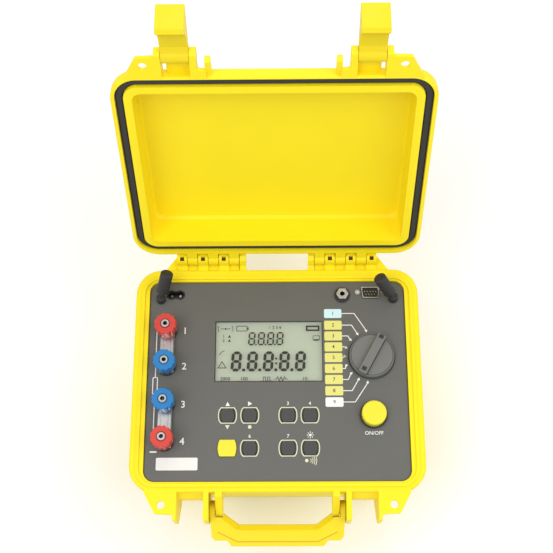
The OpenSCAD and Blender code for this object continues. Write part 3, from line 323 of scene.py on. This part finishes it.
def copied(thing, x, y):
    deselect()
    thing.select_set(True)
    bpy.context.view_layer.objects.active = thing
    bpy.ops.object.duplicate()
    bpy.ops.transform.translate(value=(x * mm, y * mm, 0))
    bpy.ops.object.transform_apply(location=True, rotation=True, scale=True)
    return bpy.context.object


def printAndShadeLayer(name, parts, ink, body="base"):
    joined(parts)
    settled(name, printAndShadeColours[ink], body)


def middle(node):
    low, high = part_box(node)
    return (low[0] + high[0]) / 2 / mm, (low[1] + high[1]) / 2 / mm


# Range labels and leader lines of the selector

rangePlan = {"labelX": 53.1, "width": 16.6, "depth": 8.9, "corner": 1.3, "line": 0.75,
             "number": 3.4, "numberRise": 0.12,
             "rows": (62.2, 50.6, 39.9, 29.2, 18.8, 8.2, -2.4, -13.1, -23.8),
             "bends": (73.4, 70.7, 67.0, 64.5, 65.0, 64.0, 66.6, 69.8, 72.4), "straightRow": 4,
             "tipRadius": 23.6, "firstAngle": 100, "step": 20, "arrow": 2.6, "arrowHalf": 0.55}


def rangeLabels():
    plan = rangePlan
    dialX, dialY = middle("selector_knob")
    labelX, arrow = plan["labelX"], plan["arrow"]
    half = arrow * plan["arrowHalf"]
    yellow, dark, lines = [], [], []
    for index, (row, bend) in enumerate(zip(plan["rows"], plan["bends"])):
        box = roundedBox(labelX, row, plan["width"], plan["depth"], plan["corner"])
        if index == 0:
            printAndShadeLayer("rangeLabelFirst", [flat(box)], "blue")
        elif index == len(plan["rows"]) - 1:
            printAndShadeLayer("rangeLabelLast", [flat(box)], "white")
        else:
            yellow.append(flat(box))
        dark.append(words(str(index + 1), labelX, row, plan["number"], rise=plan["numberRise"]))
        angle = math.radians(plan["firstAngle"] + plan["step"] * index)
        ux, uy = math.cos(angle), math.sin(angle)
        tipX, tipY = dialX + plan["tipRadius"] * ux, dialY + plan["tipRadius"] * uy
        backX, backY = tipX + arrow * ux, tipY + arrow * uy
        path = [(labelX + plan["width"] / 2, row), (bend, row), (backX, backY)]
        if index == plan["straightRow"]:
            path = [path[0], (backX + arrow, backY)]
        lines.append(flat(ribbon(path, plan["line"])))
        head = [(tipX, tipY), (backX - uy * half, backY + ux * half), (backX + uy * half, backY - ux * half)]
        lines.append(flat(head))
    printAndShadeLayer("rangeLabels", yellow, "yellow")
    printAndShadeLayer("rangeNumbers", dark, "black")
    printAndShadeLayer("leaderLines", lines, "white")


rangeLabels()
print("range labels placed")


# Outlines and symbols round the keys

keyPlan = {"width": 17.6, "depth": 15.4, "line": 1.0, "chamfer": 2.6, "bow": 1.5, "bare": (0, 4),
           "sideDepth": 0.35, "bowShare": 1.6, "sideAngle": 75, "sideStep": 15,
           "shadowChamfer": 0.7, "shadowLine": 0.75, "shadowRise": 0.06,
           "above": 11.0, "below": 10.8, "symbol": 2.1, "short": 0.8,
           "numbered": (2, 3, 6, 5), "number": 3.2}
lampPlan = {"lift": 1, "rays": 8, "inner": 1.9, "outer": 3.3, "line": 0.55, "disc": 1.2}
soundPlan = {"left": 3.5, "drop": 0.6, "disc": 1.6, "waves": 4, "first": 4, "step": 1.7,
             "spread": 28, "steps": 8, "line": 0.6}


def barrel(x, y, width, depth, chamfer, bow):
    # box outline with cut corners and sides that bow outward
    plan = keyPlan
    side = []
    for degrees in range(-plan["sideAngle"], plan["sideAngle"] + 1, plan["sideStep"]):
        angle = math.radians(degrees)
        side.append((width / 2 - bow * (1 - math.cos(angle)) * plan["bowShare"],
                     (depth / 2 - chamfer * plan["sideDepth"]) * math.sin(angle)))
    right = [(x + a, y + b) for a, b in side]
    left = [(x - a, y - b) for a, b in side]
    top = [(x + width / 2 - chamfer, y + depth / 2), (x - width / 2 + chamfer, y + depth / 2)]
    bottom = [(x - width / 2 + chamfer, y - depth / 2), (x + width / 2 - chamfer, y - depth / 2)]
    return right + top + left + bottom


def lampSign(x, y):
    plan = lampPlan
    parts = []
    for ray in range(plan["rays"]):
        angle = math.radians(360 / plan["rays"] * ray)
        ux, uy = math.cos(angle), math.sin(angle)
        path = [(x + ux * reach, y + uy * reach) for reach in (plan["inner"], plan["outer"])]
        parts.append(flat(ribbon(path, plan["line"])))
    return parts + [flat(disc(x, y, plan["disc"]))]


def soundSign(x, y):
    plan = soundPlan
    parts = [flat(disc(x, y, plan["disc"]))]
    for wave in range(plan["waves"]):
        bend = arc(x, y, plan["first"] + wave * plan["step"], -plan["spread"], plan["spread"], plan["steps"])
        parts.append(flat(ribbon(bend, plan["line"])))
    return parts


def keyMarks():
    plan = keyPlan
    places = [middle("key_%d" % number) for number in range(1, 9)]
    first = places[0]
    line, width, depth = plan["line"], plan["width"], plan["depth"]
    outline = flat(barrel(*first, width, depth, plan["chamfer"], plan["bow"]), line=line)
    innerCut = plan["chamfer"] * plan["shadowChamfer"]
    inner = barrel(*first, width - 2 * line, depth - 2 * line, innerCut, plan["bow"])
    shadow = flat(inner, line=plan["shadowLine"], rise=plan["shadowRise"])
    outlines, shadows = [outline], [shadow]
    for number, (x, y) in enumerate(places):
        if number not in plan["bare"]:
            outlines.append(copied(outline, x - first[0], y - first[1]))
            shadows.append(copied(shadow, x - first[0], y - first[1]))
    printAndShadeLayer("keyOutlines", outlines, "cream")
    printAndShadeLayer("keyShadows", shadows, "black")

    # arrows up, right and down, a dot, a lamp and a sounder
    size = plan["symbol"]
    short = size * plan["short"]
    (x1, y1), (x2, y2), (x8, y8) = places[0], places[1], places[7]
    above1, below1 = y1 + plan["above"], y1 - plan["below"]
    above2, below2 = y2 + plan["above"], y2 - plan["below"]
    white = [flat([(x1 - size, above1 - size), (x1 + size, above1 - size), (x1, above1 + short)]),
             flat([(x2 - short, above2 - size), (x2 + size, above2), (x2 - short, above2 + size)])]
    cream = [flat([(x1 - size, below1 + short), (x1, below1 - size), (x1 + size, below1 + short)]),
             flat(disc(x2, below2, short))]
    white += lampSign(x8, y8 + plan["above"] + lampPlan["lift"])
    cream += soundSign(x8 - soundPlan["left"], y8 - plan["below"] - soundPlan["drop"])
    for number in plan["numbered"]:
        x, y = places[number]
        white.append(words(str(number + 1), x, y + plan["above"], plan["number"]))
    printAndShadeLayer("keySymbolsWhite", white, "white")
    printAndShadeLayer("keySymbolsCream", cream, "cream")


keyMarks()
print("key marks placed")


# Numbers and the resistor sign beside the terminals

terminals = ("knob_c1", "knob_p1", "knob_p2", "knob_c2")
terminalPlan = {"textX": -87.3, "textHeight": 6.4, "line": 0.8,
                "stripeX": -114.0, "stripes": ((46.0, 0.4), (-15.6, -49.0)),
                "box": (-114.0, -7.6, 5.0, 16.4, 1.2), "dash": (-113.4, -69.6, 6.4, 1.3, 0.3),
                "wordDrop": 17.0, "wordHeight": 3.3}


def terminalMarks():
    plan = terminalPlan
    marks = []
    for number, knob in enumerate(terminals):
        marks.append(words(str(number + 1), plan["textX"], middle(knob)[1], plan["textHeight"]))
    for top, bottom in plan["stripes"]:
        marks.append(flat(ribbon([(plan["stripeX"], top), (plan["stripeX"], bottom)], plan["line"])))
    marks.append(flat(roundedBox(*plan["box"]), line=plan["line"]))
    marks.append(flat(roundedBox(*plan["dash"])))
    wordPlace = Vector(middle("start_button")) - Vector((0, plan["wordDrop"]))
    marks.append(words("ON/OFF", *wordPlace, plan["wordHeight"]))
    printAndShadeLayer("terminalMarks", marks, "white")


terminalMarks()
print("terminal marks placed")


# Segments of the display

displayPlan = {"large": {"x": (-38.4, -23.3, -8.2, 6.8, 21.9), "y": 15.6,
                         "width": 9.8, "height": 19.4, "bar": 2.8},
               "small": {"x": (-23.9, -14.9, -6.1, 2.7), "y": 37.7,
                         "width": 6.6, "height": 13.0, "bar": 1.5},
               "slant": 0.07, "gap": 0.3, "lift": 0.01 * mm, "rise": 0.03,
               "pointShift": 0.6, "pointCorner": 0.3,
               "colonX": -0.9, "colonRows": (18.2, 13.6), "colonSide": 1.9, "colonCorner": 0.5,
               # frame: size and corner of the dark line round the window, painted shade of its recess
               "frame": (101.6, 58.8, 0.8), "recessShadeLine": 0.7, "recessShadeRise": 0.25}

# small signs round the figures: kind, shape and line width
displaySigns = (
    # cell
    ("box", (-33.4, 47.8, 10.4, 5.4, 0.6), 0.6),
    ("box", (-27.6, 47.8, 1.0, 2.6, 0.3), 0),
    # contact and link
    ("path", ((-54.5, 49.8), (-55.7, 49.8), (-55.7, 45.4), (-54.5, 45.4)), 0.5),
    ("path", ((-43.2, 49.8), (-42.0, 49.8), (-42.0, 45.4), (-43.2, 45.4)), 0.5),
    ("path", ((-53.6, 47.6), (-50.2, 47.6)), 0.6),
    ("path", ((-47.6, 47.6), (-44.2, 47.6)), 0.6),
    ("dot", (-48.9, 47.6, 0.9, 0, 345, 16), 0),
    # boxes at the right edge
    ("box", (33.8, 47.8, 12.8, 5.4, 0.6), 1.5),
    ("box", (37.1, 38.4, 6.6, 4.4, 0.6), 0.5),
    ("box", (37.1, 36.2, 5.0, 1.2, 0.3), 0),
    # bow and triangle at the left edge
    ("bow", (-49.0, 20.6, 5.4, 95, 170, 8), 0.6),
    ("corners", ((-56.2, 9.0), (-47.4, 9.0), (-51.8, 16.0)), 0.7),
    # pulses and waves below
    ("path", ((-14.0, -3.4), (-13.0, -3.4), (-13.0, 0.4), (-10.9, 0.4), (-10.9, -3.4),
              (-8.9, -3.4), (-8.9, 0.4), (-6.8, 0.4), (-6.8, -3.4), (-5.0, -3.4)), 0.6),
    ("path", ((-2.4, -1.5), (-0.6, -1.5), (0.4, 0.6), (2.0, -3.4), (3.6, 0.6),
              (5.2, -3.4), (6.8, 0.6), (7.8, -1.5), (9.6, -1.5)), 0.6),
)
displayWords = (("1", -50.6, 40.2, 2.9), ("2", -50.6, 36.0, 2.9), ("2000", -48.6, -1.4, 3.3),
                ("100", -31.0, -1.4, 3.3), ("10", 26.0, -1.4, 3.3), ("1 2 3 4", -2.0, 48.4, 2.9))
displayMarkers = {"x": (-46.6, -43.8, -45.2), "rows": (40.2, 36.0), "down": 1.2, "up": 1.4}


def digit(plan, x, thin):
    # all seven segments of one figure, leaning a little to the right
    gap, slant = displayPlan["gap"], displayPlan["slant"]
    y, width, height = plan["y"], plan["width"], plan["height"]
    half, reach = plan["bar"] / 2, height / 2 - plan["bar"] / 2
    parts = []
    for row in (-1, 0, 1):
        end = width / 2 - half - gap
        cy = row * reach
        parts.append([(-end, cy), (-end + half, cy + half), (end - half, cy + half), (end, cy),
                      (end - half, cy - half), (-end + half, cy - half)])
    for column in (-1, 1):
        cx = column * (width / 2 - half)
        for low, high in ((-reach, 0), (0, reach)):
            foot, head = low + gap, high - gap
            parts.append([(cx, foot), (cx + half, foot + half), (cx + half, head - half), (cx, head),
                          (cx - half, head - half), (cx - half, foot + half)])
    return joined([flat([(x + px + slant * py, y + py) for px, py in part], **thin) for part in parts])


def displaySign(kind, shape, line, thin):
    if kind == "box":
        return flat(roundedBox(*shape), line=line, **thin)
    if kind == "path":
        return flat(ribbon(shape, line), **thin)
    if kind == "bow":
        return flat(ribbon(arc(*shape), line), **thin)
    if kind == "dot":
        return flat(arc(*shape), **thin)
    return flat(shape, line=line, **thin)


def displayMarks():
    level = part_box("display_window")[1][2] + displayPlan["lift"]
    thin = {"rise": displayPlan["rise"], "base": level}
    parts = []
    for size in ("large", "small"):
        plan = displayPlan[size]
        columns, bar = plan["x"], plan["bar"]
        first = digit(plan, columns[0], thin)
        parts.append(first)
        for x in columns[1:]:
            parts.append(copied(first, x - columns[0], 0))
        foot = plan["y"] - plan["height"] / 2 + bar / 2
        for x in columns[:-1]:
            pointX = x + (columns[1] - columns[0]) / 2 - displayPlan["pointShift"]
            point = roundedBox(pointX, foot, bar, bar, bar * displayPlan["pointCorner"])
            parts.append(flat(point, **thin))
    side = displayPlan["colonSide"]
    for y in displayPlan["colonRows"]:
        parts.append(flat(roundedBox(displayPlan["colonX"], y, side, side, displayPlan["colonCorner"]), **thin))
    for kind, shape, line in displaySigns:
        parts.append(displaySign(kind, shape, line, thin))
    for text, x, y, height in displayWords:
        parts.append(words(text, x, y, height, **thin))
    left, right, tip = displayMarkers["x"]
    for y in displayMarkers["rows"]:
        foot = y - displayMarkers["down"]
        parts.append(flat([(left, foot), (right, foot), (tip, y + displayMarkers["up"])], **thin))
    printAndShadeLayer("displaySegments", parts, "black")

    # painted shade: a dark line round the inner edge of the window's recess
    recessShadeBox = roundedBox(*middle("display_window"), *displayPlan["frame"])
    recessShadeLine = flat(recessShadeBox, line=displayPlan["recessShadeLine"], rise=displayPlan["recessShadeRise"], base=level)
    printAndShadeLayer("displayRecessShade", [recessShadeLine], "black")


displayMarks()
print("display marks placed")


# Dark insert of the nine-way connector, with painted shade inside it, and painted shade in dark lines on the
# selector, the terminals and the link plates

detailPlan = {"insertTop": 7.9, "insertFoot": 6.9, "insertDepth": 4.6, "insertRise": 1.2,
              "insertCutDown": 1.5, "insertCutIn": 1.2,
              "circleCorners": 48, "knobShadowRing": 0.9, "dialRadius": 22.3,
              "knobAngle": 241, "knobRadius": 19.9, "knobLine": 0.55,
              "barHeight": 5.5, "barSide": 4.4, "barReach": 19.3,
              "patchWidth": 4.4, "barPatches": ((-20.2, -16.5), (14.5, 18.5)),
              "ringRadius": 4.6, "ringRise": 0.15, "plateLine": 0.5, "plateSide": 6.3}


def portInsert():
    plan = detailPlan
    x, y = middle("serial_socket")
    foot, top, depth = plan["insertFoot"], plan["insertTop"], plan["insertDepth"]
    down, inward = plan["insertCutDown"], plan["insertCutIn"]
    # black plate at the foot of the pins: the connector's dark insert, also painted shade inside the shell
    insert = [(x - foot, y - depth), (x + foot, y - depth),
              (x + top, y + depth - down), (x + top - inward, y + depth),
              (x - top + inward, y + depth), (x - top, y + depth - down)]
    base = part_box("serial_pins")[0][2]
    printAndShadeLayer("portInsert", [flat(insert, rise=plan["insertRise"], base=base)], "black")


def selectorLines():
    plan = detailPlan
    x, y = middle("selector_knob")
    corners, line, reach = plan["circleCorners"], plan["knobLine"], plan["barReach"]
    # painted shadow: a dark ring on the panel round the foot of the knob
    printAndShadeLayer("knobShadowRing", [flat(disc(x, y, plan["dialRadius"], corners), line=plan["knobShadowRing"])], "black")

    # painted shade: dark lines round the rim of the knob, along both sides of its bar and at the two ends of
    # the bar
    turn = math.radians(plan["knobAngle"])
    ux, uy = math.cos(turn), math.sin(turn)
    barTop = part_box("selector_knob")[1][2]
    discTop = barTop - plan["barHeight"] * mm
    marks = [flat(disc(x, y, plan["knobRadius"], corners), line=line, base=discTop)]
    for side in (-1, 1):
        sideX, sideY = x - uy * side * plan["barSide"], y + ux * side * plan["barSide"]
        path = [(sideX - ux * reach, sideY - uy * reach), (sideX + ux * reach, sideY + uy * reach)]
        marks.append(flat(ribbon(path, line), base=discTop))
    for near, far in plan["barPatches"]:
        path = [(x + ux * near, y + uy * near), (x + ux * far, y + uy * far)]
        marks.append(flat(ribbon(path, plan["patchWidth"]), base=barTop))
    printAndShadeLayer("knobShadeLines", marks, "black", body="selector_knob_body")


def terminalLines():
    # painted shade: a dark ring round the metal of each terminal
    plan = detailPlan
    for number, knob in enumerate(terminals):
        circle = disc(*middle(knob), plan["ringRadius"])
        ring = flat(circle, line=plan["knobLine"], rise=plan["ringRise"], base=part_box(knob)[1][2])
        printAndShadeLayer("terminalShadeRing%d" % (number + 1), [ring], "black", body=knob + "_body")

    # painted shade: dark lines along the edges of the link plates
    plateX = middle("knob_c1")[0]
    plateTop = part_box("link_plates")[1][2]
    edges = []
    for upper, lower in (("knob_c1", "knob_p1"), ("knob_p2", "knob_c2")):
        for side in (-1, 1):
            edgeX = plateX + side * plan["plateSide"]
            path = [(edgeX, middle(lower)[1]), (edgeX, middle(upper)[1])]
            edges.append(flat(ribbon(path, plan["plateLine"]), base=plateTop))
    printAndShadeLayer("plateEdgeShade", edges, "black")


portInsert()
selectorLines()
terminalLines()
print("panel details placed")


# Painted shade: dark squares at the bottom of the pockets in the hinge knuckles, and a darker line along the
# crease of the handle grip

casePlan = {"slotX": (51, 71, 91), "slotY": 114.2, "slotBase": 150.6 * mm, "slotSide": 3.8, "slotCorner": 0.4,
            "handle": (0, -117.0, 119.0), "handleDroop": 10, "gripTop": 6.5 * mm, "gripCreaseShadeLine": 0.9,
            "gripCreaseShade": ((-54.5, -21.4), (-36.5, -30.0), (36.5, -30.0), (54.5, -21.4))}


def caseDetails():
    plan = casePlan
    # dark squares at the bottom of the hinge pockets, painted shade
    slotShades = []
    for x in plan["slotX"]:
        for side in (-1, 1):
            slot = roundedBox(side * x, plan["slotY"], plan["slotSide"], plan["slotSide"], plan["slotCorner"])
            slotShades.append(flat(slot, base=plan["slotBase"]))
    printAndShadeLayer("hingeSlotShade", slotShades, "pocketShade")
    # a darker orange line along the crease of the handle grip, painted shade
    gripCreaseShade = flat(ribbon(plan["gripCreaseShade"], plan["gripCreaseShadeLine"]), base=plan["gripTop"])
    gripCreaseShade.rotation_euler = (math.radians(plan["handleDroop"]), 0, 0)
    gripCreaseShade.location = [length * mm for length in plan["handle"]]
    printAndShadeLayer("handleCreaseShade", [gripCreaseShade], "gripCreaseShade", body="carry_handle_body")


caseDetails()
print("case details placed")


# Soft edges, in millimetres

softEdges = {"base_shell": 0.7, "lid_shell": 0.7, "carry_handle": 1.6, "latch_left": 1.2, "latch_right": 1.2,
             "selector_knob": 0.6, "start_button": 0.5, "knob_c1": 0.5, "knob_c2": 0.5, "knob_p1": 0.5,
             "knob_p2": 0.5, "stay_left": 0.6, "stay_right": 0.6, "front_panel": 0.25, "key_1": 0.5,
             "key_2": 0.5, "key_3": 0.5, "key_4": 0.5, "key_5": 0.7, "key_6": 0.5, "key_7": 0.5, "key_8": 0.5,
             "link_plates": 0.3, "terminal_stems": 0.3, "terminal_seats": 0.5, "probe_socket": 0.4,
             "probe_socket_nut": 0.4, "serial_socket": 0.2, "mains_inlet": 0.4, "stay_feet": 0.5,
             "start_bezel": 0.4, "label_plate": 0.1}
edgePlan = {"weld": 0.01 * mm, "segments": 3, "sharpest": 32}


def soften(node, width):
    weld = node.modifiers.new("weld", "WELD")
    weld.merge_threshold = edgePlan["weld"]
    bevel = node.modifiers.new("bevel", "BEVEL")
    bevel.width = width * mm
    bevel.segments = edgePlan["segments"]
    bevel.limit_method = "ANGLE"
    bevel.angle_limit = math.radians(edgePlan["sharpest"])
    bevel.harden_normals = False


for nodeName, width in softEdges.items():
    soften(frame["nodes"][nodeName], width)
print("soft edges:", len(softEdges))


# Camera: place and film in millimetres, angles in degrees, focal length and picture in pixels,
# near and far in metres

camera = {"place": (9.914, -243.305, 1094.0), "look": (-0.010215, 0.338797, -0.940804),
          "yaw": -1.727, "roll": -1.933, "focal": 1048.444, "picture": 553, "film": 36,
          "near": 0.05, "far": 50}


def placeCamera():
    deselect()
    look = Vector(camera["look"]).normalized()
    yaw, roll = math.radians(camera["yaw"]), math.radians(camera["roll"])
    right = Vector((math.cos(yaw), -math.sin(yaw), 0))
    right = (right - look * right.dot(look)).normalized()
    up = right.cross(look)
    side = right * math.cos(roll) + up * math.sin(roll)
    top = up * math.cos(roll) - right * math.sin(roll)
    bpy.ops.object.camera_add()
    shot = bpy.context.object
    turn = Matrix((side, top, -look)).transposed().to_4x4()
    shot.matrix_world = Matrix.Translation(Vector(camera["place"]) * mm) @ turn
    shot.data.sensor_width = camera["film"]
    shot.data.lens = camera["focal"] / camera["picture"] * camera["film"]
    shot.data.clip_start = camera["near"]
    shot.data.clip_end = camera["far"]
    bpy.context.scene.camera = shot


placeCamera()


# Floor, world and lamps, in metres and watts

studioPlan = {"floorSide": 24, "floorColour": (0.93, 0.93, 0.935), "floorRough": 0.6,
              "floorDark": (0.92, 0.92, 0.925, 1), "floorLight": (0.95, 0.95, 0.955, 1),
              "grain": 0.3, "grainDetail": 2.0,
              "worldLight": 0.64, "worldSeen": 0.36, "aim": (0, 0.05, 0.15),
              "lamps": (("key", (-0.7, -0.5, 1.9), 1.1, 13.5),
                        ("fill", (1.0, -0.3, 1.6), 1.3, 10),
                        ("back", (0.1, 1.4, 1.5), 1.0, 8))}


def paleFloor():
    plan = studioPlan
    deselect()
    bpy.ops.mesh.primitive_plane_add(size=plan["floorSide"], location=(0, 0, 0))
    floor = bpy.context.object
    floor.name = "floor"
    paper = Finish("paleFloor", plan["floorColour"], plan["floorRough"])
    grain = paper.noise(plan["grain"], plan["grainDetail"])
    paper.set("Base Color", paper.between(plan["floorDark"], plan["floorLight"], grain))
    floor.data.materials.append(paper.material)


def whiteWorld():
    # the background looks brighter to the camera than it shines
    world = bpy.data.worlds.new("studio")
    bpy.context.scene.world = world
    world.use_nodes = True
    tree = world.node_tree
    background = tree.nodes["Background"]
    rays = tree.nodes.new("ShaderNodeLightPath")
    direct = Wire(tree, rays.outputs["Is Camera Ray"])
    seen = direct.maths("MAXIMUM", Wire(tree, rays.outputs["Is Transmission Ray"]))
    background.inputs["Color"].default_value = (1, 1, 1, 1)
    strength = seen * studioPlan["worldSeen"] + studioPlan["worldLight"]
    join(tree, background.inputs["Strength"], strength)


def placeLamps():
    for name, place, size, power in studioPlan["lamps"]:
        deselect()
        bpy.ops.object.light_add(type="AREA", location=place)
        lamp = bpy.context.object
        lamp.name = name
        lamp.data.size = size
        lamp.data.energy = power
        aim = Vector(studioPlan["aim"]) - Vector(place)
        lamp.rotation_euler = aim.to_track_quat("-Z", "Y").to_euler()


paleFloor()
whiteWorld()
placeLamps()
bpy.context.scene.view_settings.view_transform = "Standard"
print("camera and lamps placed")
